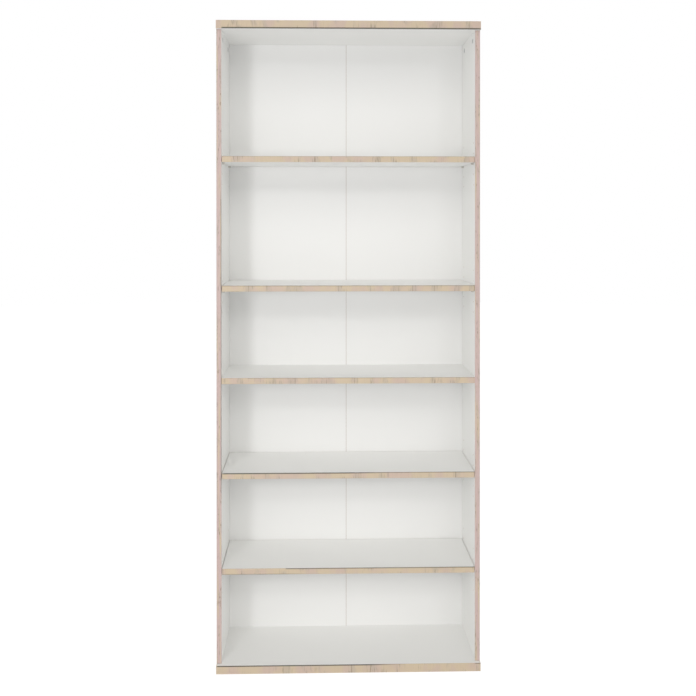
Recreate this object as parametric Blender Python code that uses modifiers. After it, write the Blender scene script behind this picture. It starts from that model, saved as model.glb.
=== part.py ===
"""Bookcase with five shelves, four of which rest on pins and can be moved.

A flat-pack case of coated chipboard. A base board and a top board cover the ends of two side panels and
stand a little in front of them. The middle shelf is screwed in. The two shelves below it and the two above
it lie on pins, which fit a short row of holes in the sides. Each board has an oak-effect strip on its front.

Metres, +Z up. The front faces -Y, and the origin is on the floor under the middle of the case.
"""

from math import cos, pi, radians, sin

import bmesh
import bpy
from mathutils import Matrix, Vector

# Overall size
WIDTH = 0.800
DEPTH = 0.310
HEIGHT = 1.970

# Thicknesses
COVER_T = 0.025  # top and base boards
SIDE_T = 0.015
SHELF_T = 0.018
BACK_T = 0.003
EDGING_T = 0.002

# How the boards meet
OVERHANG = 0.018  # top and base boards stand this far in front of the sides and shelves
BACK_INSET = 0.002  # the back stops this short of the case's outline
SHELF_END_PLAY = 0.0015  # between a loose shelf's end and the side panel
SHELF_REAR_PLAY = 0.002  # between a loose shelf and the back
GAP = 0.0003  # left between faces that touch
BORE_PLAY = 0.0002  # all round a piece in its bore
EDGING_ROUND = 0.0008  # radius on the front edges of an edging strip
OVERSHOOT = 0.001  # how far a cutter starts outside the face it cuts

# Heights of the shelves' upper faces above the floor, lowest first
SHELF_TOPS = (0.312, 0.602, 0.890, 1.170, 1.562)
FIXED_SHELF = 3  # the shelf that is screwed in, counted from the floor

# Shelf pins and their holes
PIN_R = 0.0024
PIN_COLLAR_R = 0.0036
PIN_COLLAR_T = 0.0008
PIN_IN = 0.008  # length inside the side panel
PIN_OUT = 0.008  # length under the shelf
PIN_INSET = 0.037  # from the case's front and rear planes to the rows of holes
PIN_PITCH = 0.032
PIN_STEPS = (-2, -1, 0, 1, 2)  # holes for each shelf, counted from the one in use
PIN_SIDES = 12

# Cam locks, cam bolts and dowels of the top board
FASTENER_INSET = 0.050  # from the case's front and rear planes
CAM_R = 0.0075
CAM_T = 0.0120
CAM_DROP = 0.024  # from the side panel's upper end to the cam's centre
CAM_FACE_T = 0.0032  # solid face in front of the cam's channel
CAM_CROSS = (0.0080, 0.0016, 0.0014)  # length, width and depth of each arm of the driver recess
BOLT_THREAD_R = 0.0025
BOLT_THREAD_L = 0.010
BOLT_FLANGE_R = 0.0036
BOLT_FLANGE_T = 0.0015
BOLT_SHAFT_R = 0.0028
BOLT_NECK_R = 0.0018
BOLT_HEAD_R = 0.0033
DOWEL_R = 0.0039
DOWEL_L = 0.030
DOWEL_IN_TOP = 0.012
DOWEL_SPACING = 0.032  # from a cam bolt to the dowel beside it

# Screws of the base board and of the middle shelf
SCREW_L = 0.050
SCREW_HEAD_R = 0.0048
SCREW_HEAD_T = 0.0038
SCREW_NECK_R = 0.0034
SCREW_NECK_L = 0.013
SCREW_THREAD_R = 0.0030
SCREW_TIP_R = 0.0016
SCREW_TIP_L = 0.004
SCREW_SOCKET_R = 0.0020
SCREW_SOCKET_T = 0.0028
FASTENER_SIDES = 12
CAM_SIDES = 20

# Planes and places that follow from the sizes above
FRONT = -DEPTH / 2
CASE_FRONT = FRONT + OVERHANG
CASE_REAR = DEPTH / 2 - BACK_T - GAP
INNER_X = WIDTH / 2 - SIDE_T
SIDE_LOW = COVER_T + GAP
SIDE_HIGH = HEIGHT - COVER_T - GAP
SIDE_MID_X = WIDTH / 2 - SIDE_T / 2
PIN_ROWS = {"front": CASE_FRONT + PIN_INSET, "rear": CASE_REAR - PIN_INSET}
FASTENER_ROWS = {"front": CASE_FRONT + FASTENER_INSET, "rear": CASE_REAR - FASTENER_INSET}
SIGNS = {"left": -1, "right": 1}

# Name: colour, roughness, metallic
FINISHES = {
    "white_melamine": ((0.86, 0.86, 0.85, 1.0), 0.45, 0.0),
    "oak_edging": ((0.61, 0.50, 0.39, 1.0), 0.55, 0.0),
    "white_hardboard": ((0.84, 0.84, 0.83, 1.0), 0.55, 0.0),
    "nickel": ((0.66, 0.65, 0.62, 1.0), 0.30, 1.0),
    "zinc": ((0.60, 0.61, 0.62, 1.0), 0.45, 1.0),
    "beech": ((0.62, 0.45, 0.28, 1.0), 0.70, 0.0),
}


def clear_scene():
    for obj in list(bpy.data.objects):
        bpy.data.objects.remove(obj, do_unlink=True)


def new_collection(name, is_helper=False):
    made = bpy.data.collections.new(name)
    made.hide_render = is_helper
    bpy.context.scene.collection.children.link(made)
    return made


def make_materials():
    made = {}
    for name, (colour, roughness, metallic) in FINISHES.items():
        material = bpy.data.materials.new(name)
        material.use_nodes = True
        shader = material.node_tree.nodes["Principled BSDF"]
        shader.inputs["Base Color"].default_value = colour
        shader.inputs["Roughness"].default_value = roughness
        shader.inputs["Metallic"].default_value = metallic
        made[name] = material
    return made


clear_scene()
PARTS = new_collection("bookcase")
CUTTERS = new_collection("cutters", is_helper=True)
MATERIALS = make_materials()


def add_object(name, bm, place=(0, 0, 0), finish=None):
    """Turn a bmesh into an object: a part if it has a finish, or else a cutter."""
    mesh = bpy.data.meshes.new(name)
    bm.to_mesh(mesh)
    bm.free()
    obj = bpy.data.objects.new(name, mesh)
    obj.location = place
    if finish is None:
        obj.hide_render = True
        obj.display_type = "WIRE"
        CUTTERS.objects.link(obj)
    else:
        mesh.materials.append(MATERIALS[finish])
        PARTS.objects.link(obj)
    return obj


def add_block(bm, low, high, origin=(0, 0, 0)):
    """Add a box between two world corners to a bmesh whose object will stand at the origin given."""
    low, high = Vector(low), Vector(high)
    place = Matrix.Translation((low + high) / 2 - Vector(origin))
    size = Matrix.Diagonal(high - low).to_4x4()
    return bmesh.ops.create_cube(bm, size=1, matrix=place @ size)["verts"]


def make_board(name, low, high, finish="white_melamine"):
    """A plain board between two world corners, with its origin at its centre."""
    centre = (Vector(low) + Vector(high)) / 2
    bm = bmesh.new()
    add_block(bm, low, high, centre)
    return add_object(name, bm, centre, finish)


def make_edging(name, low, high, rounded_axis=1, rounded_side=-1):
    """An edging strip, with its outward face's four edges rounded."""
    centre = (Vector(low) + Vector(high)) / 2
    bm = bmesh.new()
    add_block(bm, low, high, centre)
    outer = [
        edge
        for edge in bm.edges
        if all(vert.co[rounded_axis] * rounded_side > 0 for vert in edge.verts)
    ]
    bmesh.ops.bevel(bm, geom=outer, offset=EDGING_ROUND, segments=2, profile=0.5, affect="EDGES")
    return add_object(name, bm, centre, "oak_edging")


def drill(bits, mouth, direction, radius, depth, sides=FASTENER_SIDES):
    """Add a drill bit to a cutter's bmesh: it enters at the mouth and stops at the depth."""
    direction = Vector(direction)
    centre = Vector(mouth) + direction * (depth - OVERSHOOT) / 2
    turn = direction.to_track_quat("Z", "Y").to_matrix().to_4x4()
    corner_r = radius / cos(pi / sides)
    bmesh.ops.create_cone(
        bits,
        cap_ends=True,
        segments=sides,
        radius1=corner_r,
        radius2=corner_r,
        depth=depth + OVERSHOOT,
        matrix=Matrix.Translation(centre) @ turn @ Matrix.Rotation(pi / sides, 4, "Z"),
    )


def cut(board, label, bits):
    """Cut the bits out of a board."""
    cutter = add_object(f"{board.name}_{label}", bits)
    modifier = board.modifiers.new(label, "BOOLEAN")
    modifier.operation = "DIFFERENCE"
    modifier.solver = "EXACT"
    modifier.object = cutter


def make_turned(name, profile, sides, finish, place, direction):
    """A turned piece: (radius, distance along its axis) points, spun about the axis by a Screw modifier.

    Radii are to the flats, and a flat faces up, so that a shelf lies flat on its pins.
    """
    direction = Vector(direction)
    half_step = pi / sides
    bm = bmesh.new()
    verts = [
        bm.verts.new((radius, radius * sin(half_step) / cos(half_step), along))
        for radius, along in profile
    ]
    for first, second in zip(verts, verts[1:]):
        bm.edges.new((first, second))
    obj = add_object(name, bm, place, finish)
    obj.rotation_euler = direction.to_track_quat("Z", "Y").to_euler()
    screw = obj.modifiers.new("turned", "SCREW")
    screw.axis = "Z"
    screw.angle = radians(360)
    screw.steps = screw.render_steps = sides
    screw.use_merge_vertices = True
    screw.merge_threshold = 0.00001
    screw.use_normal_flip = True
    return obj


# Boards


def make_cover(name, low_z, high_z):
    """A top or base board, which runs over the ends of the sides, with its three edging strips."""
    half = WIDTH / 2
    core_x = half - EDGING_T - GAP
    core_front = FRONT + EDGING_T + GAP
    board = make_board(f"{name}_panel", (-core_x, core_front, low_z), (core_x, CASE_REAR, high_z))
    make_edging(f"{name}_front_edging", (-half, FRONT, low_z), (half, FRONT + EDGING_T, high_z))
    for side, sign in SIGNS.items():
        xs = sorted((sign * half, sign * (half - EDGING_T)))
        low = (xs[0], core_front, low_z)
        high = (xs[1], CASE_REAR, high_z)
        make_edging(f"{name}_{side}_edging", low, high, rounded_axis=0, rounded_side=sign)
    return board


def make_side(side, sign):
    """A side panel and its edging strip."""
    xs = sorted((sign * INNER_X, sign * WIDTH / 2))
    board = make_board(
        f"{side}_side_panel",
        (xs[0], CASE_FRONT + EDGING_T + GAP, SIDE_LOW),
        (xs[1], CASE_REAR, SIDE_HIGH),
    )
    make_edging(
        f"{side}_side_edging",
        (xs[0], CASE_FRONT, SIDE_LOW),
        (xs[1], CASE_FRONT + EDGING_T, SIDE_HIGH),
    )
    return board


def make_shelf(number, top):
    """A shelf and its edging strip. A loose shelf's two pieces hang on one empty, on its line of travel."""
    is_fixed = number == FIXED_SHELF
    half = INNER_X - (GAP if is_fixed else SHELF_END_PLAY)
    rear = CASE_REAR - (0 if is_fixed else SHELF_REAR_PLAY)
    low_z = top - SHELF_T
    board = make_board(
        f"shelf_{number}", (-half, CASE_FRONT + EDGING_T + GAP, low_z), (half, rear, top)
    )
    strip = make_edging(
        f"shelf_{number}_edging", (-half, CASE_FRONT, low_z), (half, CASE_FRONT + EDGING_T, top)
    )
    if not is_fixed:
        carrier = bpy.data.objects.new(f"shelf_{number}_travel", None)
        carrier.location = (0, CASE_FRONT, low_z)
        PARTS.objects.link(carrier)
        for piece in (board, strip):
            piece.parent = carrier
            piece.location -= carrier.location
    return board


def make_back():
    """Two hardboard halves that meet on the centre line."""
    low_z, high_z = BACK_INSET, HEIGHT - BACK_INSET
    for side, sign in SIGNS.items():
        xs = sorted((sign * GAP / 2, sign * (WIDTH / 2 - BACK_INSET)))
        make_board(
            f"back_panel_{side}",
            (xs[0], DEPTH / 2 - BACK_T, low_z),
            (xs[1], DEPTH / 2, high_z),
            "white_hardboard",
        )


# Shelf pins


def pin_height(top):
    """Height of the pins' axes under a shelf whose upper face is at the height given."""
    return top - SHELF_T - GAP - PIN_R


def make_pins(number, top):
    """Four pins under one shelf."""
    collar_start = BORE_PLAY
    collar_end = collar_start + PIN_COLLAR_T
    profile = (
        (0, -PIN_IN),
        (PIN_R, -PIN_IN),
        (PIN_R, collar_start),
        (PIN_COLLAR_R, collar_start),
        (PIN_COLLAR_R, collar_end),
        (PIN_R, collar_end),
        (PIN_R, PIN_OUT),
        (0, PIN_OUT),
    )
    for side, sign in SIGNS.items():
        for row, y in PIN_ROWS.items():
            make_turned(
                f"shelf_{number}_pin_{side}_{row}",
                profile,
                PIN_SIDES,
                "nickel",
                (sign * INNER_X, y, pin_height(top)),
                (-sign, 0, 0),
            )


def drill_pin_holes(bits, sign):
    """The short rows of holes for every loose shelf, in one side panel."""
    for number, top in enumerate(SHELF_TOPS, 1):
        if number == FIXED_SHELF:
            continue
        for step in PIN_STEPS:
            for y in PIN_ROWS.values():
                mouth = (sign * INNER_X, y, pin_height(top) + step * PIN_PITCH)
                drill(bits, mouth, (sign, 0, 0), PIN_R + BORE_PLAY, PIN_IN + GAP, PIN_SIDES)


# Fasteners


def dowel_rows():
    """The dowels stand between the cam bolts."""
    return {
        "front": FASTENER_ROWS["front"] + DOWEL_SPACING,
        "rear": FASTENER_ROWS["rear"] - DOWEL_SPACING,
    }


def make_cam(side, sign, row, y):
    """A cam lock: a drum in the side panel, with a channel for the bolt's head and a driver recess."""
    centre = Vector((sign * (INNER_X + CAM_T / 2), y, SIDE_HIGH - CAM_DROP))
    inner_face = sign * INNER_X
    bm = bmesh.new()
    bmesh.ops.create_cone(
        bm,
        cap_ends=True,
        segments=CAM_SIDES,
        radius1=CAM_R,
        radius2=CAM_R,
        depth=CAM_T,
        matrix=Matrix.Rotation(pi / 2, 4, "Y"),
    )
    cam = add_object(f"cam_lock_{side}_{row}", bm, centre, "zinc")
    channel = bmesh.new()
    half_width = BOLT_HEAD_R + 2 * GAP
    xs = sorted((inner_face + sign * CAM_FACE_T, inner_face + sign * (CAM_T + OVERSHOOT)))
    add_block(
        channel,
        (xs[0], y - half_width, centre.z - half_width),
        (xs[1], y + half_width, centre.z + CAM_R + OVERSHOOT),
    )
    cut(cam, "channel", channel)
    length, width, depth = CAM_CROSS
    xs = sorted((inner_face - sign * OVERSHOOT, inner_face + sign * depth))
    for label, along_y, along_z in (("level", length, width), ("upright", width, length)):
        arm = bmesh.new()
        add_block(
            arm,
            (xs[0], y - along_y / 2, centre.z - along_z / 2),
            (xs[1], y + along_y / 2, centre.z + along_z / 2),
        )
        cut(cam, f"{label}_slot", arm)


def make_cam_bolt(side, sign, row, y):
    """A bolt that is screwed up into the top board and hangs down into the cam."""
    head_top = -CAM_DROP + BOLT_HEAD_R
    profile = (
        (0, -CAM_DROP - BOLT_HEAD_R),
        (BOLT_HEAD_R * 0.6, -CAM_DROP - BOLT_HEAD_R),
        (BOLT_HEAD_R, -CAM_DROP),
        (BOLT_NECK_R, head_top),
        (BOLT_NECK_R, -CAM_DROP + CAM_R),
        (BOLT_SHAFT_R, -CAM_DROP + CAM_R),
        (BOLT_SHAFT_R, -BOLT_FLANGE_T),
        (BOLT_FLANGE_R, -BOLT_FLANGE_T),
        (BOLT_FLANGE_R, 0),
        (BOLT_THREAD_R, 0),
        (BOLT_THREAD_R, BOLT_THREAD_L),
        (0, BOLT_THREAD_L),
    )
    place = (sign * SIDE_MID_X, y, SIDE_HIGH)
    make_turned(f"cam_bolt_{side}_{row}", profile, FASTENER_SIDES, "zinc", place, (0, 0, 1))


def make_dowel(side, sign, row, y):
    """A dowel, half in the top board and half in the side panel's end."""
    chamfer = DOWEL_R / 4
    bottom = DOWEL_IN_TOP - DOWEL_L
    profile = (
        (0, bottom),
        (DOWEL_R - chamfer, bottom),
        (DOWEL_R, bottom + chamfer),
        (DOWEL_R, DOWEL_IN_TOP - chamfer),
        (DOWEL_R - chamfer, DOWEL_IN_TOP),
        (0, DOWEL_IN_TOP),
    )
    place = (sign * SIDE_MID_X, y, SIDE_HIGH)
    make_turned(f"dowel_{side}_{row}", profile, FASTENER_SIDES, "beech", place, (0, 0, 1))


def make_screw(name, head_place, direction):
    """A chipboard assembly screw whose head is flush with the face that it enters."""
    profile = (
        (0, SCREW_SOCKET_T),
        (SCREW_SOCKET_R, SCREW_SOCKET_T),
        (SCREW_SOCKET_R, GAP),
        (SCREW_HEAD_R, GAP),
        (SCREW_NECK_R, SCREW_HEAD_T),
        (SCREW_NECK_R, SCREW_NECK_L),
        (SCREW_THREAD_R, SCREW_NECK_L),
        (SCREW_THREAD_R, SCREW_L - SCREW_TIP_L),
        (SCREW_TIP_R, SCREW_L),
        (0, SCREW_L),
    )
    make_turned(name, profile, FASTENER_SIDES, "zinc", head_place, direction)


def drill_screw(bores, sinks, mouth, direction, board_t):
    """The hole right through the first board, and the wider one for the head."""
    drill(bores, mouth, direction, SCREW_NECK_R + BORE_PLAY, board_t + OVERSHOOT)
    drill(sinks, mouth, direction, SCREW_HEAD_R + BORE_PLAY, SCREW_HEAD_T + GAP)


def drill_screw_pilot(bores, mouth, direction, first_board_t):
    """The blind hole in the end of the second board."""
    depth = SCREW_L - first_board_t + GAP
    drill(bores, mouth, direction, SCREW_THREAD_R + BORE_PLAY, depth)


def build():
    tops = dict(enumerate(SHELF_TOPS, 1))
    base = make_cover("base", 0, COVER_T)
    top = make_cover("top", HEIGHT - COVER_T, HEIGHT)
    sides = {side: make_side(side, sign) for side, sign in SIGNS.items()}
    shelves = {number: make_shelf(number, height) for number, height in tops.items()}
    make_back()
    for number, height in tops.items():
        if number != FIXED_SHELF:
            make_pins(number, height)

    base_bores, base_sinks, top_bores, shelf_bores = (bmesh.new() for _ in range(4))
    fixed_z = tops[FIXED_SHELF] - SHELF_T / 2
    for side, sign in SIGNS.items():
        bores, pockets = bmesh.new(), bmesh.new()
        drill_pin_holes(bores, sign)
        for row, y in FASTENER_ROWS.items():
            x = sign * SIDE_MID_X
            make_cam(side, sign, row, y)
            make_cam_bolt(side, sign, row, y)
            cam_mouth = (sign * INNER_X, y, SIDE_HIGH - CAM_DROP)
            drill(pockets, cam_mouth, (sign, 0, 0), CAM_R + GAP, CAM_T + GAP, CAM_SIDES)
            drill(bores, (x, y, SIDE_HIGH), (0, 0, -1), BOLT_FLANGE_R + BORE_PLAY, CAM_DROP)
            thread_depth = GAP + BOLT_THREAD_L
            drill(top_bores, (x, y, HEIGHT - COVER_T), (0, 0, 1), BOLT_THREAD_R + BORE_PLAY, thread_depth)

            make_screw(f"base_screw_{side}_{row}", (x, y, 0), (0, 0, 1))
            drill_screw(base_bores, base_sinks, (x, y, 0), (0, 0, 1), COVER_T)
            drill_screw_pilot(bores, (x, y, SIDE_LOW), (0, 0, 1), COVER_T)

            outer = (sign * WIDTH / 2, y, fixed_z)
            make_screw(f"shelf_{FIXED_SHELF}_screw_{side}_{row}", outer, (-sign, 0, 0))
            drill_screw(bores, pockets, outer, (-sign, 0, 0), SIDE_T)
            shelf_end = (sign * (INNER_X - GAP), y, fixed_z)
            drill_screw_pilot(shelf_bores, shelf_end, (-sign, 0, 0), SIDE_T)
        for row, y in dowel_rows().items():
            x = sign * SIDE_MID_X
            make_dowel(side, sign, row, y)
            depth_in_side = DOWEL_L - DOWEL_IN_TOP + GAP
            drill(bores, (x, y, SIDE_HIGH), (0, 0, -1), DOWEL_R + BORE_PLAY, depth_in_side)
            drill(top_bores, (x, y, HEIGHT - COVER_T), (0, 0, 1), DOWEL_R + BORE_PLAY, DOWEL_IN_TOP + GAP)
        cut(sides[side], "bores", bores)
        cut(sides[side], "pockets", pockets)
    cut(base, "bores", base_bores)
    cut(base, "sinks", base_sinks)
    cut(top, "bores", top_bores)
    cut(shelves[FIXED_SHELF], "bores", shelf_bores)


build()
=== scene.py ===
"""Looks of a flat-pack bookcase: its finishes, its back, its fittings and a plain white studio.

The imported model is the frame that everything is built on. Boards, edging strips, cam bolts and dowels keep
their own shapes and get a finish. The back, shelf pins, cam locks and assembly screws are modelled here in more
detail, and the nails of the back are added.

Metres, +Z up. The front faces -Y, and the origin is on the floor under the middle of the case.
"""

from math import radians, sin, tan

import bmesh
import bpy
from bpy.props import FloatProperty, FloatVectorProperty, IntProperty, PointerProperty
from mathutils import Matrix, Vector


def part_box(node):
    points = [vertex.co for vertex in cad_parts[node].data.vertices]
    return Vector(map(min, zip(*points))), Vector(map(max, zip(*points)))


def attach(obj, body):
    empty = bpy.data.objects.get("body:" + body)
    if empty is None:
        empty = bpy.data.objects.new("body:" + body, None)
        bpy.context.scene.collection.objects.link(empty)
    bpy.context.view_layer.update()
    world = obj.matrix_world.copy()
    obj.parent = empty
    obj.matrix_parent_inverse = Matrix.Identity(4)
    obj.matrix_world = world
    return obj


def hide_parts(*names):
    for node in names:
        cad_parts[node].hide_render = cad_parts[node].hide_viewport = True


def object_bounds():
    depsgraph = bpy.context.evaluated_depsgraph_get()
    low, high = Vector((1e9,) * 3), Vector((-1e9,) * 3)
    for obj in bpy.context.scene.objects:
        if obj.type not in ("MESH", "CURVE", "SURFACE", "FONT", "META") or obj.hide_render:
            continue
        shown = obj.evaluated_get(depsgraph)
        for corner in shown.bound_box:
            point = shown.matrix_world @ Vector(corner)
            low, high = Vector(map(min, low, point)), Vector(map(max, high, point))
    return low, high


bl_info = {
    "name": "Bookcase Looks",
    "version": (1, 0, 0),
    "blender": (4, 5, 0),
    "location": "View3D > Sidebar > Bookcase",
    "description": "Finishes, back, fittings and studio of a bookcase with adjustable shelves",
    "category": "Object",
}

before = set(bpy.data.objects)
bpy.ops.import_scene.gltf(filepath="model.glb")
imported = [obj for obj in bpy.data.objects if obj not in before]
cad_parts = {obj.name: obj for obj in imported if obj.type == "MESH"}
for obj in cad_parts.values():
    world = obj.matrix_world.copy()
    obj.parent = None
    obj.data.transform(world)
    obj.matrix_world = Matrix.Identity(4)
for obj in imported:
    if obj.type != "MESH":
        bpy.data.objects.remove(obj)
CAD_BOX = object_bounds()

SIDES = {"left": -1, "right": 1}
ROWS = ("front", "rear")
SHELVES = (1, 2, 3, 4, 5)  # from the floor up
FIXED_SHELF = 3
LOOSE_SHELVES = tuple(number for number in SHELVES if number != FIXED_SHELF)
MM = 0.001
# The dark lines at the edging arrises are partly glue and partly painted shadow of the seam gap, and this fade
# applies to both.
LINE_FADE = 120 * MM  # a glue line fades over this length at its end
COATING = 0.15 * MM  # thickness of the melamine coating


def linear(hex_colour):
    """A colour written as sRGB hex, as linear red, green, blue and alpha."""
    shares = [int(hex_colour[at : at + 2], 16) / 255 for at in (0, 2, 4)]
    return [s / 12.92 if s <= 0.04045 else ((s + 0.055) / 1.055) ** 2.4 for s in shares] + [1.0]


def colour_property(name, description, hex_colour):
    return FloatVectorProperty(
        name=name,
        description=description,
        default=linear(hex_colour),
        size=4,
        min=0.0,
        max=1.0,
        subtype="COLOR",
    )


def length_property(name, description, default):
    return FloatProperty(
        name=name, description=description, default=default, min=0.0, precision=5, unit="LENGTH"
    )


def power_property(name, description, default):
    return FloatProperty(
        name=name, description=description, default=default, min=0.0, subtype="POWER", unit="POWER"
    )


def share_property(name, description, default):
    return FloatProperty(name=name, description=description, default=default, min=0.0)


class BookcaseFinish(bpy.types.PropertyGroup):
    white: colour_property("White", "Coated faces of the boards", "F7F7F5")
    core: colour_property("Chipboard", "Raw chipboard on the rear edges and in the bores", "C9AC82")
    core_dark: colour_property("Dark chips", "Darkest chips of the raw chipboard", "8A6842")
    # This colour paints the glue line, and also the painted shadow in the seam gap and the painted shade on the
    # outer arrises of the upright strips.
    glue_and_seam_shadow: colour_property("Glue line", "Trimmed arris of an edging strip", "4A463A")
    oak_yellow: colour_property("Oak, yellow", "Yellow bands of the oak print", "CEB899")
    oak_pink: colour_property("Oak, pink", "Pink bands of the oak print", "CAB09E")
    oak_mauve: colour_property("Oak, mauve", "Pink streaks of the upright strips", "C9ADA8")
    oak_grey: colour_property("Oak, grey", "Grey bands and streaks of the oak print", "AFA191")
    oak_dark: colour_property("Oak, ticks", "Fine saw marks of the oak print", "7E6A54")
    back_white: colour_property("Back, front face", "Lacquered face of the back", "F8F8F7")
    back_brown: colour_property("Back, rear face", "Raw face of the back", "8F6B49")
    nickel: colour_property("Nickel", "Shelf pins", "C9C5BC")
    zinc: colour_property("Zinc", "Screws, bolts, cam locks and nails", "B9BCBE")
    beech: colour_property("Beech", "Dowels", "D2AC7C")
    peel_size: length_property("Peel size", "Width of one dimple of the coating", 1.5 * MM)
    band_length: length_property("Band length", "Typical length of a band of the oak print", 55 * MM)
    tick_length: length_property("Tick length", "Width of one saw mark of the oak print", 3 * MM)


class BookcaseFittings(bpy.types.PropertyGroup):
    pin_radius: length_property("Pin radius", "Radius of a shelf pin", 2.4 * MM)
    pin_round: length_property("Pin rounding", "Rounding of a shelf pin's end", 1.4 * MM)
    collar_thickness: length_property("Collar", "Thickness of a shelf pin's collar", 0.8 * MM)
    back_chamfer: length_property("Back chamfer", "Chamfer where the halves of the back meet", 0.5 * MM)
    socket_radius: length_property("Hex socket", "Radius of a screw's hexagonal socket", 2.3 * MM)
    socket_depth: length_property("Socket depth", "Depth of a screw's hexagonal socket", 2.8 * MM)
    nail_head_radius: length_property("Nail head", "Radius of a back nail's head", 2.6 * MM)
    nail_head_height: length_property("Nail head height", "How far a nail's head stands out", 0.9 * MM)
    nail_spacing: length_property("Nail spacing", "About this far from nail to nail", 140 * MM)
    round_sides: IntProperty(
        name="Sides", description="Sides of a turned piece", default=28, min=12, max=64
    )


class BookcaseStudio(bpy.types.PropertyGroup):
    camera_place: FloatVectorProperty(
        name="Camera",
        description="Place of the camera",
        default=(-0.093, -3.355, 1.375),
        subtype="XYZ",
        unit="LENGTH",
    )
    camera_pitch: FloatProperty(
        name="Pitch", description="How far it looks up", default=radians(-0.26), subtype="ANGLE"
    )
    camera_yaw: FloatProperty(
        name="Yaw", description="How far it looks to the right", default=radians(1.62), subtype="ANGLE"
    )
    lens: FloatProperty(
        name="Lens", description="Focal length in millimetres", default=54.9, subtype="DISTANCE_CAMERA"
    )
    rise: FloatProperty(
        name="Rise", description="Shift of the lens, as a share of the picture", default=-0.18
    )
    key_power: power_property("Key lamp", "Lamp at the left, at eye height", 13.5)
    high_key_power: power_property("High key lamp", "Lamp at the left, well above", 8.0)
    fill_power: power_property("Fill lamp", "Lamp at the right, well above", 9.0)
    front_power: power_property("Front softbox", "Wide lamp in front", 6.8)
    wall_light: share_property("Lit walls", "Light of the white room's walls", 1.52)
    ceiling_light: share_property("Ceiling", "Light of the white room's ceiling", 0.2)
    floor_light: share_property("Floor", "Light that the floor sends up", 0.38)
    floor_white: share_property("Floor whiteness", "How bright the floor looks before it is lit", 0.86)
    tone: share_property("Tone", "Gamma of the view: above 1, shadows are softer", 1.25)


# Building blocks


def settings(name):
    """One of the groups of settings that the panel shows."""
    return getattr(bpy.context.scene, name)


def add_node(tree, kind, inputs=None, output=0, **options):
    """Add a shader node with its options, values and links, and give back one of its outputs."""
    node = tree.nodes.new("ShaderNode" + kind)
    for key, value in options.items():
        setattr(node, key, value)
    for key, value in (inputs or {}).items():
        if isinstance(value, bpy.types.NodeSocket):
            tree.links.new(value, node.inputs[key])
        else:
            node.inputs[key].default_value = value
    return node.outputs[output]


def start_material(name, values):
    """A new material with its shader's plain values set, as (material, tree, shader)."""
    material = bpy.data.materials.new(name)
    material.use_nodes = True
    tree = material.node_tree
    shader = tree.nodes["Principled BSDF"]
    for key, value in values.items():
        shader.inputs[key].default_value = value
    return material, tree, shader


def cover(obj, material):
    """Put one finish on the whole of an object."""
    if not obj.material_slots:
        obj.data.materials.append(material)
    for slot in obj.material_slots:
        slot.material = material


def deselect_all():
    if bpy.context.mode != "OBJECT":
        bpy.ops.object.mode_set(mode="OBJECT")
    bpy.ops.object.select_all(action="DESELECT")


def settle():
    """Move the active object's place, turn and size into its mesh."""
    bpy.ops.object.transform_apply(location=True, rotation=True, scale=True)


def pick(kind, is_wanted):
    """In edit mode, select only the faces or edges that pass a test."""
    bpy.ops.mesh.select_mode(type=kind)
    bpy.ops.mesh.select_all(action="DESELECT")
    mesh = bpy.context.edit_object.data
    bm = bmesh.from_edit_mesh(mesh)
    wanted = [item for item in (bm.faces if kind == "FACE" else bm.edges) if is_wanted(item)]
    if not wanted:
        raise RuntimeError(f"nothing on {bpy.context.edit_object.name} passed the test")
    for item in wanted:
        item.select_set(True)
    bmesh.update_edit_mesh(mesh)


def middle(item):
    """The middle of a face or an edge."""
    return sum((vert.co for vert in item.verts), Vector()) / len(item.verts)


def add_box(name, low, high):
    """A box between two corners, ready for shaping, with its place in its mesh."""
    deselect_all()
    low, high = Vector(low), Vector(high)
    bpy.ops.mesh.primitive_cube_add(size=1, location=(low + high) / 2, scale=high - low)
    settle()
    obj = bpy.context.object
    obj.name = obj.data.name = name
    return obj


def add_rod(name, start, end, radius, sides):
    """A round rod between two points, ready for shaping, with its place in its mesh."""
    deselect_all()
    start, end = Vector(start), Vector(end)
    turn = (end - start).to_track_quat("Z", "Y").to_euler()
    bpy.ops.mesh.primitive_cylinder_add(
        vertices=sides,
        radius=radius,
        depth=(end - start).length,
        location=(start + end) / 2,
        rotation=turn,
    )
    settle()
    obj = bpy.context.object
    obj.name = obj.data.name = name
    return obj


def draw_out(direction, length):
    """In edit mode, extrude the selected end face of a rod."""
    bpy.ops.mesh.extrude_region_move(TRANSFORM_OT_translate={"value": Vector(direction) * length})


def widen(direction, centre, growth):
    """In edit mode, widen or narrow the selected end face of a rod about its centre."""
    across = [growth if abs(part) < 0.5 else 1.0 for part in direction]
    bpy.ops.transform.resize(value=across, center_override=centre)


def step_end(direction, centre, growth, length):
    """In edit mode, give a rod's selected end face a step to another width, then draw it out."""
    draw_out(direction, 0.0)
    widen(direction, centre, growth)
    draw_out(direction, length)


def cut_away(piece, *cutters):
    """Cut the cutters out of a piece, and remove them."""
    for cutter in cutters:
        deselect_all()
        bpy.context.view_layer.objects.active = piece
        piece.select_set(True)
        modifier = piece.modifiers.new("cut", "BOOLEAN")
        modifier.operation = "DIFFERENCE"
        modifier.solver = "EXACT"
        modifier.object = cutter
        bpy.ops.object.modifier_apply(modifier=modifier.name)
        bpy.data.objects.remove(cutter)


def smooth(piece, angle=35.0):
    """Smooth shading but for the sharp edges, with nothing left to merge."""
    deselect_all()
    bpy.context.view_layer.objects.active = piece
    piece.select_set(True)
    bpy.ops.object.mode_set(mode="EDIT")
    bpy.ops.mesh.select_all(action="SELECT")
    bpy.ops.mesh.remove_doubles(threshold=0.000002)
    bpy.ops.mesh.normals_make_consistent(inside=False)
    bpy.ops.object.mode_set(mode="OBJECT")
    bpy.ops.object.shade_smooth_by_angle(angle=radians(angle))
    return piece


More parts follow.
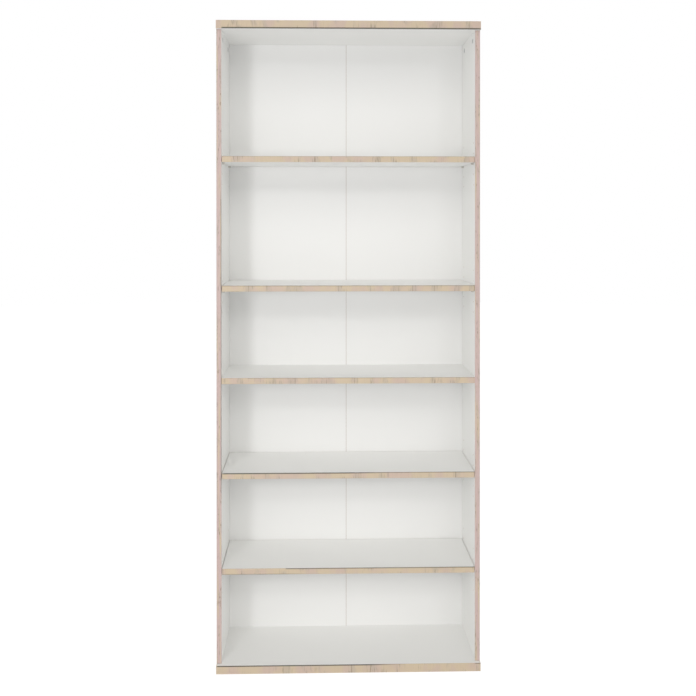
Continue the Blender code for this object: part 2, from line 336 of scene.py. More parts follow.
def copy_to(piece, name, offset, half_turn=False):
    """A copy of a piece with its own mesh, given a half turn about the Z axis if asked, then moved."""
    deselect_all()
    bpy.context.view_layer.objects.active = piece
    piece.select_set(True)
    bpy.ops.object.duplicate(linked=False)
    copy = bpy.context.object
    if half_turn:
        copy.rotation_euler = (0, 0, radians(180))
        settle()
    copy.location = offset
    settle()
    copy.name = copy.data.name = name
    return copy


def centre_of(node):
    """The middle of a node's box."""
    low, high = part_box(node)
    return (low + high) / 2


def copies_on_both_sides(master, first, node_name, piece_name):
    """Copies of a left-hand piece for each side and row, each with its node, turned for the right side."""
    centre = centre_of(first)
    for side, sign in SIDES.items():
        is_turned = sign > 0
        start = Vector((-centre.x, -centre.y, centre.z)) if is_turned else centre
        for row in ROWS:
            node = node_name.format(side=side, row=row)
            name = piece_name.format(side=side, row=row)
            yield copy_to(master, name, centre_of(node) - start, half_turn=is_turned), node


def fit_in(piece, node, body, material):
    """Let a finished piece stand for its node, ride on its body and take its finish."""
    cover(piece, material)
    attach(piece, body)
    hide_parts(node)


# Finishes


def grain_vector(tree, along, across, seed):
    """Place on a strip as (along, across, 0) in metres, starting at its own stretch of the print."""
    place = add_node(tree, "TexCoord", output="Object")
    axes = {axis: add_node(tree, "SeparateXYZ", {0: place}, output=axis) for axis in "XYZ"}
    shifted = add_node(tree, "Math", {0: axes[along], 1: seed * 0.93}, operation="ADD")
    return add_node(tree, "CombineXYZ", {"X": shifted, "Y": axes[across]}), axes


def oak_strip(name, along, across, is_cross_banded, seed, blush=0.0, glue_and_shadow_lines=()):
    """Oak-effect paper edging, printed and lacquered: a satin print whose grain can be seen but not felt.

    The print shows bands that lie across a level strip, and long streaks on an upright one, and blush shifts
    it from yellow to pink. Along a trimmed arris a thin dark line is drawn: partly the strip's brown core and
    its glue, partly painted shadow in the gap of the seam, and on an outer arris painted shade only. It is
    drawn coarser than a tight joint would be.
    """
    finish = settings("bookcase_finish")
    material, tree, shader = start_material(name, {"Roughness": 0.5, "IOR": 1.5})
    vector, axes = grain_vector(tree, along, across, seed)
    # Length along the strip and width across it, of a band, of a grey band and of a saw mark.
    if is_cross_banded:
        band, grey_band, tick = (
            (finish.band_length, 90 * MM),
            (finish.band_length * 0.7, 60 * MM),
            (finish.tick_length, 45 * MM),
        )
    else:
        band, grey_band, tick = (
            (180 * MM, 6 * MM),
            (70 * MM, 5 * MM),
            (14 * MM, 3 * MM),
        )
    noises = []
    for number, (length, width) in enumerate((band, grey_band, tick)):
        scaled = add_node(
            tree,
            "Mapping",
            {
                "Vector": vector,
                "Location": (number * 7.3, number * 3.1, 0),
                "Scale": (1 / length, 1 / width, 1),
            },
        )
        noises.append(
            add_node(
                tree,
                "TexNoise",
                {"Vector": scaled, "Scale": 1.0, "Detail": 1.5, "Roughness": 0.55},
                noise_dimensions="2D",
            )
        )
    pink = finish.oak_pink if is_cross_banded else finish.oak_mauve
    hue = add_node(
        tree,
        "MapRange",
        {"Value": noises[0], "From Min": 0.42 - blush, "From Max": 0.66 - blush},
        interpolation_type="SMOOTHSTEP",
    )
    grey = add_node(
        tree,
        "MapRange",
        {"Value": noises[1], "From Min": 0.52, "From Max": 0.70, "To Max": 0.5},
        interpolation_type="SMOOTHSTEP",
    )
    # The saw marks come in clusters, where the print is greyer.
    tick_mark = add_node(
        tree,
        "MapRange",
        {"Value": noises[2], "From Min": 0.56, "From Max": 0.68, "To Max": 0.72},
        interpolation_type="SMOOTHSTEP",
    )
    cluster = add_node(
        tree, "MapRange", {"Value": noises[1], "From Min": 0.50, "From Max": 0.64, "To Min": 0.08}
    )
    dark = add_node(tree, "Math", {0: tick_mark, 1: cluster}, operation="MULTIPLY")
    colour = add_node(
        tree, "Mix", {0: hue, 6: finish.oak_yellow, 7: pink}, output=2, data_type="RGBA"
    )
    colour = add_node(
        tree, "Mix", {0: grey, 6: colour, 7: finish.oak_grey}, output=2, data_type="RGBA"
    )
    colour = add_node(
        tree, "Mix", {0: dark, 6: colour, 7: finish.oak_dark}, output=2, data_type="RGBA"
    )
    for arris, inward, width, start, end, strength in glue_and_shadow_lines:
        # Glue line with painted seam shadow, or painted arris shade: dark towards the arris,
        # between a start and an end along the strip, where it fades.
        depth = add_node(
            tree, "Math", {0: axes[across], 1: inward, 2: -arris * inward}, operation="MULTIPLY_ADD"
        )
        line = add_node(
            tree,
            "MapRange",
            {
                "Value": depth,
                "From Min": width * 0.8,
                "From Max": width * 1.2,
                "To Min": strength,
                "To Max": 0.0,
            },
        )
        begins = add_node(
            tree, "MapRange", {"Value": axes[along], "From Min": start, "From Max": start + 4 * MM}
        )
        ends = add_node(
            tree,
            "MapRange",
            {
                "Value": axes[along],
                "From Min": end - LINE_FADE,
                "From Max": end,
                "To Min": 1.0,
                "To Max": 0.0,
            },
        )
        glue_and_shadow_mask = add_node(tree, "Math", {0: line, 1: begins}, operation="MULTIPLY")
        glue_and_shadow_mask = add_node(tree, "Math", {0: glue_and_shadow_mask, 1: ends}, operation="MULTIPLY")
        colour = add_node(
            tree, "Mix", {0: glue_and_shadow_mask, 6: colour, 7: finish.glue_and_seam_shadow}, output=2, data_type="RGBA"
        )
    tree.links.new(colour, shader.inputs["Base Color"])
    roughness = add_node(tree, "MapRange", {"Value": noises[2], "To Min": 0.44, "To Max": 0.60})
    tree.links.new(roughness, shader.inputs["Roughness"])
    bump = add_node(
        tree, "Bump", {"Strength": 0.15, "Distance": 0.05 * MM, "Height": noises[2]}
    )
    tree.links.new(bump, shader.inputs["Normal"])
    return material


def coated_board(name, node, thin_axis):
    """Melamine-coated chipboard: a hard white pearl coating with a fine orange peel, pressed on a raw core.

    The coating is thin, so the core of glued chips shows on a cut edge and inside a bore.
    """
    finish = settings("bookcase_finish")
    low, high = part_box(node)
    at = "XYZ".index(thin_axis)
    material, tree, shader = start_material(name, {"IOR": 1.5})
    place = add_node(tree, "TexCoord", output="Object")
    axes = {axis: add_node(tree, "SeparateXYZ", {0: place}, output=axis) for axis in "XYZ"}
    centre = (low[at] + high[at]) / 2
    half = (high[at] - low[at]) / 2
    offset = add_node(tree, "Math", {0: axes[thin_axis], 1: centre}, operation="SUBTRACT")
    offset = add_node(tree, "Math", {0: offset}, operation="ABSOLUTE")
    is_core = add_node(tree, "Math", {0: offset, 1: half - COATING}, operation="LESS_THAN")
    # Chips 2 to 4 mm long, pressed flat in the board's plane.
    flat = [3.0 * MM, 3.0 * MM, 3.0 * MM]
    flat[at] = 1.2 * MM
    scaled = add_node(
        tree, "Mapping", {"Vector": place, "Scale": [1 / size for size in flat]}
    )
    chips = add_node(tree, "TexVoronoi", {"Vector": scaled, "Scale": 1.0}, output="Color")
    shade = add_node(tree, "SeparateColor", {0: chips})
    core = add_node(
        tree, "Mix", {0: shade, 6: finish.core, 7: finish.core_dark}, output=2, data_type="RGBA"
    )
    # The white drifts by about one part in a hundred over a forearm's length.
    drift = add_node(tree, "TexNoise", {"Vector": place, "Scale": 3.0, "Detail": 2.0})
    drift = add_node(tree, "MapRange", {"Value": drift, "To Min": 0.985, "To Max": 1.012})
    white = add_node(
        tree,
        "Mix",
        {0: 1.0, 6: finish.white, 7: drift},
        output=2,
        data_type="RGBA",
        blend_type="MULTIPLY",
    )
    colour = add_node(tree, "Mix", {0: is_core, 6: white, 7: core}, output=2, data_type="RGBA")
    tree.links.new(colour, shader.inputs["Base Color"])
    roughness = add_node(tree, "MapRange", {"Value": is_core, "To Min": 0.42, "To Max": 0.9})
    tree.links.new(roughness, shader.inputs["Roughness"])
    peel = add_node(
        tree, "TexNoise", {"Vector": place, "Scale": 1 / finish.peel_size, "Detail": 1.0}
    )
    bump = add_node(tree, "Bump", {"Strength": 0.25, "Distance": 0.02 * MM, "Height": peel})
    tree.links.new(bump, shader.inputs["Normal"])
    return material


def hardboard(name):
    """Wet-process hardboard: white lacquer on its smooth face, raw brown fibre with a screen's print behind."""
    finish = settings("bookcase_finish")
    front_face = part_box("back_panel_left")[0].y
    material, tree, shader = start_material(name, {"IOR": 1.5})
    place = add_node(tree, "TexCoord", output="Object")
    depth = add_node(tree, "SeparateXYZ", {0: place}, output="Y")
    # The lacquer stops at the arris, so the raw fibre shows on the chamfers.
    lacquer = 0.08 * MM
    is_raw = add_node(tree, "Math", {0: depth, 1: front_face + lacquer}, operation="GREATER_THAN")
    fibres = add_node(tree, "TexNoise", {"Vector": place, "Scale": 1 / (9 * MM), "Detail": 6.0})
    mottle = add_node(
        tree,
        "MapRange",
        {"Value": fibres, "From Min": 0.3, "From Max": 0.7, "To Min": 0.82, "To Max": 1.12},
    )
    brown = add_node(
        tree,
        "Mix",
        {0: 1.0, 6: finish.back_brown, 7: mottle},
        output=2,
        data_type="RGBA",
        blend_type="MULTIPLY",
    )
    drift = add_node(tree, "TexNoise", {"Vector": place, "Scale": 2.5, "Detail": 2.0})
    drift = add_node(tree, "MapRange", {"Value": drift, "To Min": 0.985, "To Max": 1.012})
    white = add_node(
        tree,
        "Mix",
        {0: 1.0, 6: finish.back_white, 7: drift},
        output=2,
        data_type="RGBA",
        blend_type="MULTIPLY",
    )
    colour = add_node(tree, "Mix", {0: is_raw, 6: white, 7: brown}, output=2, data_type="RGBA")
    tree.links.new(colour, shader.inputs["Base Color"])
    roughness = add_node(tree, "MapRange", {"Value": is_raw, "To Min": 0.5, "To Max": 0.85})
    tree.links.new(roughness, shader.inputs["Roughness"])
    # The wire screen leaves a dimple every 2.2 mm. A wave texture repeats every 6.2832 / 20 units.
    dimple = 2.2 * MM
    weave = [
        add_node(
            tree,
            "TexWave",
            {"Vector": place, "Scale": 1 / dimple / 20 * 6.2832},
            output=1,
            wave_type="BANDS",
            bands_direction=direction,
        )
        for direction in "XZ"
    ]
    screen = add_node(tree, "Math", {0: weave[0], 1: weave[1]}, operation="MULTIPLY")
    relief = add_node(tree, "Math", {0: screen, 1: is_raw}, operation="MULTIPLY")
    bump = add_node(tree, "Bump", {"Strength": 0.5, "Distance": 0.15 * MM, "Height": relief})
    tree.links.new(bump, shader.inputs["Normal"])
    return material


def plated_steel(name, colour, roughness, scratch):
    """Plated metal, barrel-finished: bright, with fine tumbling marks that spread its highlight."""
    material, tree, shader = start_material(name, {"Metallic": 1.0})
    place = add_node(tree, "TexCoord", output="Object")
    marks = add_node(tree, "TexNoise", {"Vector": place, "Scale": 1 / scratch, "Detail": 3.0})
    tint = add_node(tree, "MapRange", {"Value": marks, "To Min": 0.88, "To Max": 1.05})
    shown = add_node(
        tree,
        "Mix",
        {0: 1.0, 6: colour, 7: tint},
        output=2,
        data_type="RGBA",
        blend_type="MULTIPLY",
    )
    tree.links.new(shown, shader.inputs["Base Color"])
    spread = add_node(
        tree, "MapRange", {"Value": marks, "To Min": roughness - 0.08, "To Max": roughness + 0.1}
    )
    tree.links.new(spread, shader.inputs["Roughness"])
    bump = add_node(tree, "Bump", {"Strength": 0.2, "Distance": 0.02 * MM, "Height": marks})
    tree.links.new(bump, shader.inputs["Normal"])
    return material


def beech_wood(name):
    """Turned beech: pale pinkish brown with short dark flecks along the grain."""
    finish = settings("bookcase_finish")
    material, tree, shader = start_material(name, {"Roughness": 0.7, "IOR": 1.5})
    place = add_node(tree, "TexCoord", output="Object")
    fleck_width, fleck_length = 0.8 * MM, 6 * MM
    grain = add_node(
        tree, "Mapping", {"Vector": place, "Scale": (1 / fleck_width, 1 / fleck_width, 1 / fleck_length)}
    )
    flecks = add_node(tree, "TexNoise", {"Vector": grain, "Scale": 1.0, "Detail": 3.0})
    shade = add_node(
        tree,
        "MapRange",
        {"Value": flecks, "From Min": 0.35, "From Max": 0.7, "To Min": 1.05, "To Max": 0.75},
    )
    colour = add_node(
        tree,
        "Mix",
        {0: 1.0, 6: finish.beech, 7: shade},
        output=2,
        data_type="RGBA",
        blend_type="MULTIPLY",
    )
    tree.links.new(colour, shader.inputs["Base Color"])
    bump = add_node(tree, "Bump", {"Strength": 0.3, "Distance": 0.05 * MM, "Height": flecks})
    tree.links.new(bump, shader.inputs["Normal"])
    return material


# Operators


class BookcaseCoatBoards(bpy.types.Operator):
    """Give every board its white melamine coating and raw core"""

    bl_idname = "bookcase.coat_boards"
    bl_label = "Coat the Boards"

    def execute(self, context):
        level_boards = ["top_panel", "base_panel"] + [f"shelf_{number}" for number in SHELVES]
        for node in level_boards:
            cover(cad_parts[node], coated_board(f"melamine_{node}", node, "Z"))
        for side in SIDES:
            node = f"{side}_side_panel"
            cover(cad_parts[node], coated_board(f"melamine_{node}", node, "X"))
        return {"FINISHED"}


class BookcaseEdgeBoards(bpy.types.Operator):
    """Print the oak pattern on every edging strip, with its glue lines, painted seam shadow and painted arris
    shade
    """

    bl_idname = "bookcase.edge_boards"
    bl_label = "Edge the Boards"

    def execute(self, context):
        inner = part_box("right_side_panel")[0].x
        half = CAD_BOX[1].x
        # Stretches of trimmed arris with a glue line and painted seam shadow, or painted shade only: which
        # arris, width, start and end along the strip, strength.
        far = half + LINE_FADE
        glue_and_shadow_stretches = {
            # Under the top, the line is widened into a painted shadow of the seam gap.
            "top_front_edging": [("lower", 4.0 * MM, -inner, inner + LINE_FADE, 1.0)],
            "shelf_5_edging": [("upper", 1.6 * MM, -inner, far, 0.25)],
            "shelf_4_edging": [("upper", 2.4 * MM, -inner, far, 0.40)],
            "shelf_3_edging": [("upper", 1.8 * MM, -inner * 0.8, far, 0.35)],
            "shelf_2_edging": [
                ("upper", 3.1 * MM, -inner, inner * 0.30, 1.0),
                ("upper", 2.2 * MM, -inner, far, 0.65),
            ],
            "shelf_1_edging": [
                ("upper", 2.4 * MM, -inner * 0.5, far, 0.80),
                ("lower", 2.0 * MM, -inner, -inner * 0.2, 0.65),
            ],
            "base_front_edging": [
                ("upper", 2.8 * MM, -half, inner * 0.45, 1.0),
                # Over the base's right end, under the side, the line is a painted shadow of the gap.
                ("upper", 2.2 * MM, inner - 4 * MM, far, 0.7),
            ],
            # On the outer arris of each upright strip, the dark line is painted shade only.
            "left_side_edging": [
                ("inner", 2.2 * MM, 0.54, 1.50, 0.65),
                ("outer", 1.5 * MM, 0.40, CAD_BOX[1].z + LINE_FADE, 0.15),
            ],
            "right_side_edging": [("outer", 1.8 * MM, 0.0, CAD_BOX[1].z, 0.20)],
        }

        def stretches(node):
            low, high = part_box(node)
            centre_x = (low.x + high.x) / 2
            inside, outside = sorted((low.x, high.x), key=abs)
            arrises = {
                "upper": (high.z, -1),
                "lower": (low.z, 1),
                "inner": (inside, -1 if inside > centre_x else 1),
                "outer": (outside, -1 if outside > centre_x else 1),
            }
            return [(*arrises[arris], *rest) for arris, *rest in glue_and_shadow_stretches[node]]

        level_strips = ["top_front_edging", "base_front_edging"] + [f"shelf_{n}_edging" for n in SHELVES]
        for seed, node in enumerate(level_strips):
            material = oak_strip(f"oak_{node}", "X", "Z", True, seed, 0.0, stretches(node))
            cover(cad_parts[node], material)
        for seed, side in enumerate(SIDES, len(level_strips)):
            for board in ("top", "base"):
                node = f"{board}_{side}_edging"
                cover(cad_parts[node], oak_strip(f"oak_{node}", "Y", "Z", True, seed + 3))
            node = f"{side}_side_edging"
            material = oak_strip(f"oak_{node}", "Z", "X", False, seed, 0.16, stretches(node))
            cover(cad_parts[node], material)
        return {"FINISHED"}


class BookcaseMakeBack(bpy.types.Operator):
    """Model the two halves of the back, chamfered where they meet"""

    bl_idname = "bookcase.make_back"
    bl_label = "Make the Back"

    def execute(self, context):
        fittings = settings("bookcase_fittings")
        lacquered = hardboard("lacquered_hardboard")
        for side, sign in SIDES.items():
            node = f"back_panel_{side}"
            low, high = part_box(node)
            if sign < 0:
                high.x = 0.0
            else:
                low.x = 0.0
            half = add_box(f"back_half_{side}", low, high)
            bpy.ops.object.mode_set(mode="EDIT")
            pick(
                "EDGE",
                lambda edge: abs(middle(edge).x) < 1e-6
                and middle(edge).y < low.y + 1e-6
                and abs(edge.verts[0].co.z - edge.verts[1].co.z) > 0.1,
            )
            bpy.ops.mesh.bevel(offset=fittings.back_chamfer, segments=1, affect="EDGES")
            rim = high.x if sign > 0 else low.x
            pick("EDGE", lambda edge: abs(middle(edge).x - rim) < 1e-6)
            bpy.ops.mesh.bevel(offset=0.3 * MM, segments=2, affect="EDGES")
            smooth(half)
            fit_in(half, node, "case", lacquered)
        return {"FINISHED"}


class BookcaseMakePins(bpy.types.Operator):
    """Turn one shelf pin with a collar and a rounded end, and put a copy in each hole in use"""

    bl_idname = "bookcase.make_pins"
    bl_label = "Make the Shelf Pins"

    def execute(self, context):
        finish, fittings = settings("bookcase_finish"), settings("bookcase_fittings")
        nickel = plated_steel("nickel_plated_steel", finish.nickel, 0.28, 0.6 * MM)
        first = f"shelf_{LOOSE_SHELVES[0]}_pin_left_front"
        low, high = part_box(first)
        centre = centre_of(first)
        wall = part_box("left_side_panel")[1].x
        collar_radius = (high.z - low.z) / 2
        growth = collar_radius / fittings.pin_radius
        collar_start = wall + 0.2 * MM
        master = add_rod(
            "shelf_pin",
            (low.x, centre.y, centre.z),
            (collar_start, centre.y, centre.z),
            fittings.pin_radius,
            fittings.round_sides,
        )
        inward = (1, 0, 0)
        bpy.ops.object.mode_set(mode="EDIT")
        pick("FACE", lambda face: face.normal.x > 0.9)
        step_end(inward, (collar_start, centre.y, centre.z), growth, fittings.collar_thickness)
        collar_end = collar_start + fittings.collar_thickness
        step_end(inward, (collar_end, centre.y, centre.z), 1 / growth, high.x - collar_end)
        pick("EDGE", lambda edge: all(abs(vert.co.x - high.x) < 1e-6 for vert in edge.verts))
        bpy.ops.mesh.bevel(offset=fittings.pin_round, segments=5, affect="EDGES")
        pick("EDGE", lambda edge: all(abs(vert.co.x - low.x) < 1e-6 for vert in edge.verts))
        bpy.ops.mesh.bevel(offset=0.5 * MM, segments=2, affect="EDGES")

        def is_on_rim(vert):
            from_axis = vert.co - Vector((vert.co.x, centre.y, centre.z))
            return from_axis.length > collar_radius * 0.98 and abs(vert.co.x - collar_end) < 1e-6

        pick(
            "EDGE",
            lambda edge: edge.calc_length() < 1.2 * MM and all(is_on_rim(vert) for vert in edge.verts),
        )
        bpy.ops.mesh.bevel(offset=0.2 * MM, segments=2, affect="EDGES")
        smooth(master)
        for number in LOOSE_SHELVES:
            node_name = f"shelf_{number}_pin_{{side}}_{{row}}"
            pin_name = f"pin_{number}_{{side}}_{{row}}"
            for pin, node in copies_on_both_sides(master, first, node_name, pin_name):
                fit_in(pin, node, "case", nickel)
        bpy.data.objects.remove(master)
        return {"FINISHED"}


class BookcaseMakeCams(bpy.types.Operator):
    """Model one cam lock with a chamfered rim and a cross recess, and put a copy in each pocket"""

    bl_idname = "bookcase.make_cams"
    bl_label = "Make the Cam Locks"

    def execute(self, context):
        finish, fittings = settings("bookcase_finish"), settings("bookcase_fittings")
        cast_zinc = plated_steel("cast_zinc", finish.zinc, 0.42, 0.9 * MM)
        first = "cam_lock_left_front"
        low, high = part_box(first)
        centre = centre_of(first)
        radius = (high.z - low.z) / 2
        face = high.x
        master = add_rod(
            "cam_lock",
            (low.x, centre.y, centre.z),
            (face, centre.y, centre.z),
            radius,
            fittings.round_sides + 12,
        )
        bpy.ops.object.mode_set(mode="EDIT")
        pick("EDGE", lambda edge: all(abs(vert.co.x - face) < 1e-6 for vert in edge.verts))
        bpy.ops.mesh.bevel(offset=0.5 * MM, segments=3, affect="EDGES")
        pick("FACE", lambda item: item.normal.x > 0.9)
        bpy.ops.mesh.inset(thickness=1.1 * MM)
        bpy.ops.mesh.inset(thickness=0.25 * MM, depth=-0.3 * MM)
        deselect_all()
        # The channel that takes the head of the bolt.
        channel_half = 3.9 * MM
        channel = add_box(
            "channel",
            (low.x - MM, centre.y - channel_half, centre.z - channel_half),
            (face - 3.2 * MM, centre.y + channel_half, high.z + MM),
        )
        cutters = [channel]
        recess = 2.2 * MM
        for label, along_y, along_z in (("level", 4.2, 0.75), ("upright", 0.75, 4.2)):
            arm = add_box(
                f"{label}_arm",
                (face - recess, centre.y - along_y * MM, centre.z - along_z * MM),
                (face + MM, centre.y + along_y * MM, centre.z + along_z * MM),
            )
            bpy.ops.object.mode_set(mode="EDIT")
            # The arms of the recess lean in towards its bottom.
            pick("FACE", lambda item: item.normal.x < -0.9)
            bottom = (face - recess, centre.y, centre.z)
            bpy.ops.transform.resize(value=(1, 0.7, 0.7), center_override=bottom)
            deselect_all()
            cutters.append(arm)
        cut_away(master, *cutters)
        smooth(master)
        for cam, node in copies_on_both_sides(master, first, "cam_lock_{side}_{row}", "cam_{side}_{row}"):
            fit_in(cam, node, "case", cast_zinc)
        bpy.data.objects.remove(master)
        return {"FINISHED"}


class BookcaseMakeScrews(bpy.types.Operator):
    """Model one assembly screw for the sides and one for the base, and put a copy in each bore"""

    bl_idname = "bookcase.make_screws"
    bl_label = "Make the Assembly Screws"

    def make_screw(self, name, head, direction):
        """An assembly screw with a countersunk head and a hexagonal socket, 50 mm long."""
        fittings = settings("bookcase_fittings")
        head, direction = Vector(head), Vector(direction)
        head_radius, neck_radius, core_radius, thread_radius = 4.8 * MM, 3.4 * MM, 2.3 * MM, 3.0 * MM
        length, start, rim_end, cone_end, neck_end = 50 * MM, 0.3 * MM, 1.1 * MM, 3.8 * MM, 13 * MM
        pitch, turns = 3.0 * MM, 11
        flank, flat, shoulder = 0.22 * pitch, 0.56 * pitch, 0.6 * MM
        tip_share = 0.55
        screw = add_rod(
            name,
            head + direction * start,
            head + direction * rim_end,
            head_radius,
            fittings.round_sides,
        )
        bpy.ops.object.mode_set(mode="EDIT")
        pick("FACE", lambda face: face.normal.dot(direction) > 0.9)
        draw_out(direction, cone_end - rim_end)
        widen(direction, head + direction * cone_end, neck_radius / head_radius)
        draw_out(direction, neck_end - cone_end)
        reached = neck_end
        step_end(direction, head + direction * reached, core_radius / neck_radius, shoulder)
        reached += shoulder
        # The thread is drawn as rings, one for each turn, since it is all inside the boards.
        for _ in range(turns):
            for growth in (thread_radius / core_radius, core_radius / thread_radius):
                draw_out(direction, flank)
                reached += flank
                widen(direction, head + direction * reached, growth)
            draw_out(direction, flat)
            reached += flat
        draw_out(direction, length - reached)
        widen(direction, head + direction * length, tip_share)
        outer = (head + direction * start).dot(direction)
        pick("EDGE", lambda edge: all(abs(vert.co.dot(direction) - outer) < 1e-6 for vert in edge.verts))
        bpy.ops.mesh.bevel(offset=0.35 * MM, segments=2, affect="EDGES")
        deselect_all()
        bottom = head + direction * (start + fittings.socket_depth)
        socket = add_rod("socket", head - direction * MM, bottom, fittings.socket_radius, 6)
        cut_away(screw, socket)
        return smooth(screw)

    def execute(self, context):
        zinc = plated_steel("zinc_plated_steel", settings("bookcase_finish").zinc, 0.38, 0.7 * MM)
        first = f"shelf_{FIXED_SHELF}_screw_left_front"
        centre = centre_of(first)
        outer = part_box("left_side_panel")[0].x
        side_screw = self.make_screw("side_screw", (outer, centre.y, centre.z), (1, 0, 0))
        node_name = f"shelf_{FIXED_SHELF}_screw_{{side}}_{{row}}"
        for screw, node in copies_on_both_sides(side_screw, first, node_name, "side_screw_{side}_{row}"):
            fit_in(screw, node, "case", zinc)
        bpy.data.objects.remove(side_screw)
        centre = centre_of("base_screw_left_front")
        base_screw = self.make_screw("base_screw", (centre.x, centre.y, 0.0), (0, 0, 1))
        for side in SIDES:
            for row in ROWS:
                node = f"base_screw_{side}_{row}"
                screw = copy_to(base_screw, f"foot_screw_{side}_{row}", centre_of(node) - centre)
                fit_in(screw, node, "case", zinc)
        bpy.data.objects.remove(base_screw)
        return {"FINISHED"}


class BookcaseMakeNails(bpy.types.Operator):
    """Model one domed nail head and drive a copy at each place where the back is nailed to a board"""

    bl_idname = "bookcase.make_nails"
    bl_label = "Make the Back Nails"

    def execute(self, context):
        finish, fittings = settings("bookcase_finish"), settings("bookcase_fittings")
        zinc = plated_steel("zinc_plated_nails", finish.zinc, 0.35, 0.7 * MM)
        rear = CAD_BOX[1].y
        shank = 0.8 * MM
        master = add_rod("nail", (0, rear - 2.5 * MM, 0), (0, rear, 0), shank, 16)
        bpy.ops.object.mode_set(mode="EDIT")
        pick("FACE", lambda face: face.normal.y > 0.9)
        growth = fittings.nail_head_radius / shank
        step_end((0, 1, 0), (0, rear, 0), growth, fittings.nail_head_height)
        top = rear + fittings.nail_head_height
        pick("EDGE", lambda edge: all(abs(vert.co.y - top) < 1e-6 for vert in edge.verts))
        bpy.ops.mesh.bevel(offset=0.7 * MM, segments=3, affect="EDGES")
        smooth(master)
        columns = {side: centre_of(f"{side}_side_panel").x for side in SIDES}
        low, high = centre_of("base_panel").z, centre_of("top_panel").z
        count = round((high - low) / fittings.nail_spacing)
        places = {
            side: [(x, low + (high - low) * step / count) for step in range(count + 1)]
            for side, x in columns.items()
        }
        level = {"base": low, "top": high, "middle": centre_of(f"shelf_{FIXED_SHELF}").z}
        across = columns["right"] - columns["left"]
        count = round(across / fittings.nail_spacing)
        for name, z in level.items():
            places[name] = [
                (columns["left"] + across * step / count, z) for step in range(1, count)
            ]
        for name, spots in places.items():
            nails = [
                copy_to(master, f"nail_{name}_{number}", (x, 0, z))
                for number, (x, z) in enumerate(spots)
            ]
            deselect_all()
            for nail in nails:
                nail.select_set(True)
            bpy.context.view_layer.objects.active = nails[0]
            bpy.ops.object.join()
            row = bpy.context.object
            row.name = row.data.name = f"back_nails_{name}"
            cover(row, zinc)
            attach(row, "case")
        bpy.data.objects.remove(master)
        return {"FINISHED"}


class BookcaseFinishJoinery(bpy.types.Operator):
    """Give the cam bolts their zinc and the dowels their beech"""

    bl_idname = "bookcase.finish_joinery"
    bl_label = "Finish Bolts and Dowels"

    def execute(self, context):
        bolts = plated_steel("zinc_plated_bolts", settings("bookcase_finish").zinc, 0.38, 0.7 * MM)
        beech = beech_wood("turned_beech")
        for side in SIDES:
            for row in ROWS:
                cover(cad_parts[f"cam_bolt_{side}_{row}"], bolts)
                cover(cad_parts[f"dowel_{side}_{row}"], beech)
        return {"FINISHED"}


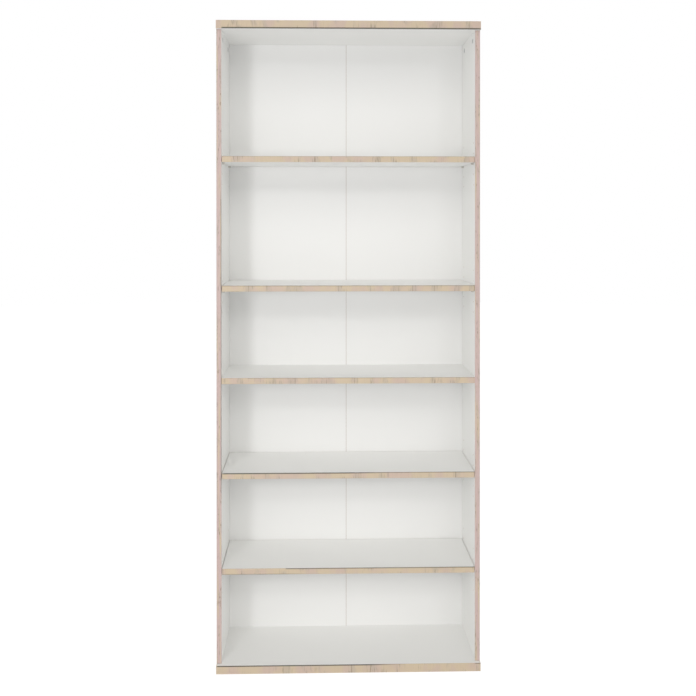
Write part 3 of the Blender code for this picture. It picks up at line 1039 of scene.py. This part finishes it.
class BookcaseSetStudio(bpy.types.Operator):
    """Set up the pale floor, the white room, the lamps and the camera"""

    bl_idname = "bookcase.set_studio"
    bl_label = "Set the Studio"

    def add_lamp(self, name, place, target, size, power):
        deselect_all()
        place = Vector(place)
        turn = (Vector(target) - place).to_track_quat("-Z", "Y").to_euler()
        bpy.ops.object.light_add(type="AREA", location=place, rotation=turn)
        lamp = bpy.context.object
        lamp.name = lamp.data.name = name
        lamp.data.shape = "DISK"
        lamp.data.size = size
        lamp.data.energy = power

    def add_floor(self, studio):
        """A floor painted white, which looks a little brighter than the light that it sends up."""
        deselect_all()
        floor_radius = 14
        bpy.ops.mesh.primitive_circle_add(vertices=96, radius=floor_radius, fill_type="NGON")
        floor = bpy.context.object
        floor.name = floor.data.name = "studio_floor"
        material, tree, shader = start_material(
            "white_floor_paint",
            {
                "Roughness": 0.8,
                "Specular IOR Level": 0.0,
                "Base Color": linear("A0A0A0"),
                "Emission Color": linear("FFFFFF"),
            },
        )
        is_seen = add_node(tree, "LightPath", output="Is Camera Ray")
        glow = add_node(
            tree,
            "MapRange",
            {"Value": is_seen, "To Min": studio.floor_light, "To Max": studio.floor_white},
        )
        tree.links.new(glow, shader.inputs["Emission Strength"])
        cover(floor, material)

    def add_room(self, studio):
        """A white room, seen as plain white, with its light in a band of the walls above the floor."""
        world = bpy.data.worlds.new("white_room")
        bpy.context.scene.world = world
        world.use_nodes = True
        tree = world.node_tree
        tree.nodes.clear()
        towards = add_node(tree, "TexCoord", output="Generated")
        height = add_node(tree, "SeparateXYZ", {0: towards}, output="Z")
        blur = 0.03
        wall_foot, wall_top = sin(radians(12)), sin(radians(35))
        from_foot, from_top = (
            add_node(
                tree,
                "MapRange",
                {"Value": height, "From Min": edge - blur, "From Max": edge + blur, "To Max": gain},
            )
            for edge, gain in (
                (wall_foot, studio.wall_light),
                (wall_top, studio.wall_light - studio.ceiling_light),
            )
        )
        strength = add_node(tree, "Math", {0: from_foot, 1: from_top}, operation="SUBTRACT")
        light = add_node(tree, "Background", {"Color": linear("FFFDF8"), "Strength": strength})
        seen = add_node(tree, "Background", {"Color": linear("FFFFFF"), "Strength": 1.0})
        is_seen = add_node(tree, "LightPath", output="Is Camera Ray")
        room = add_node(tree, "MixShader", {0: is_seen, 1: light, 2: seen})
        tree.links.new(room, tree.nodes.new("ShaderNodeOutputWorld").inputs["Surface"])

    def add_camera(self, studio):
        deselect_all()
        bpy.ops.object.camera_add(
            location=studio.camera_place,
            rotation=(radians(90) + studio.camera_pitch, 0, -studio.camera_yaw),
        )
        camera = bpy.context.object
        camera.name = camera.data.name = "camera"
        # A 24 by 36 mm sensor held upright: its height sets the field of view.
        camera.data.sensor_fit = "VERTICAL"
        camera.data.sensor_width = 24.0
        camera.data.sensor_height = 36.0
        camera.data.lens = studio.lens
        camera.data.shift_y = studio.rise
        bpy.context.scene.camera = camera

    def execute(self, context):
        studio = settings("bookcase_studio")
        low, high = CAD_BOX
        centre = (0, 0, (low.z + high.z) / 2)
        inner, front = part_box("left_side_panel")[1].x, low.y

        slant = tan(radians(14.5))

        def beside(sign, distance, height):
            """A place in front of a side panel, slanting away from it to its outer side."""
            return (sign * (abs(inner) + distance * slant), front - distance, height)

        # Two rows of lamps, nearer and low, and farther back and high above.
        near, far, high_up = 2.6, 4.4, 2.8
        eye, waist = (0, 0, 1.35), (0, 0, 0.95)
        self.add_lamp("key_lamp", beside(-1, near, eye[2]), eye, 0.40, studio.key_power)
        self.add_lamp("high_key_lamp", beside(-1, far, high_up), centre, 0.40, studio.high_key_power)
        self.add_lamp("fill_lamp", beside(1, far, high_up), centre, 0.50, studio.fill_power)
        self.add_lamp("front_softbox", (0, front - near, waist[2]), waist, 2.0, studio.front_power)
        self.add_floor(studio)
        self.add_room(studio)
        self.add_camera(studio)
        bpy.context.scene.view_settings.view_transform = "Standard"
        bpy.context.scene.view_settings.gamma = studio.tone
        return {"FINISHED"}


OPERATORS = (
    BookcaseCoatBoards,
    BookcaseEdgeBoards,
    BookcaseMakeBack,
    BookcaseMakePins,
    BookcaseMakeCams,
    BookcaseMakeScrews,
    BookcaseMakeNails,
    BookcaseFinishJoinery,
    BookcaseSetStudio,
)


class BookcasePanel(bpy.types.Panel):
    """Steps and settings of the bookcase"""

    bl_idname = "VIEW3D_PT_bookcase"
    bl_label = "Bookcase"
    bl_space_type = "VIEW_3D"
    bl_region_type = "UI"
    bl_category = "Bookcase"

    def draw(self, context):
        for operator in OPERATORS:
            self.layout.operator(operator.bl_idname)
        for name, group in SETTINGS.items():
            box = self.layout.box()
            for field in group.__annotations__:
                box.prop(getattr(context.scene, name), field)


SETTINGS = {
    "bookcase_finish": BookcaseFinish,
    "bookcase_fittings": BookcaseFittings,
    "bookcase_studio": BookcaseStudio,
}


def register():
    for cls in (*SETTINGS.values(), *OPERATORS, BookcasePanel):
        bpy.utils.register_class(cls)
    for name, group in SETTINGS.items():
        setattr(bpy.types.Scene, name, PointerProperty(type=group))


def unregister():
    for name in SETTINGS:
        delattr(bpy.types.Scene, name)
    for cls in reversed((*SETTINGS.values(), *OPERATORS, BookcasePanel)):
        bpy.utils.unregister_class(cls)


def main():
    register()
    for operator in OPERATORS:
        group, step = operator.bl_idname.split(".")
        getattr(getattr(bpy.ops, group), step)()
    deselect_all()


if __name__ == "__main__":
    main()
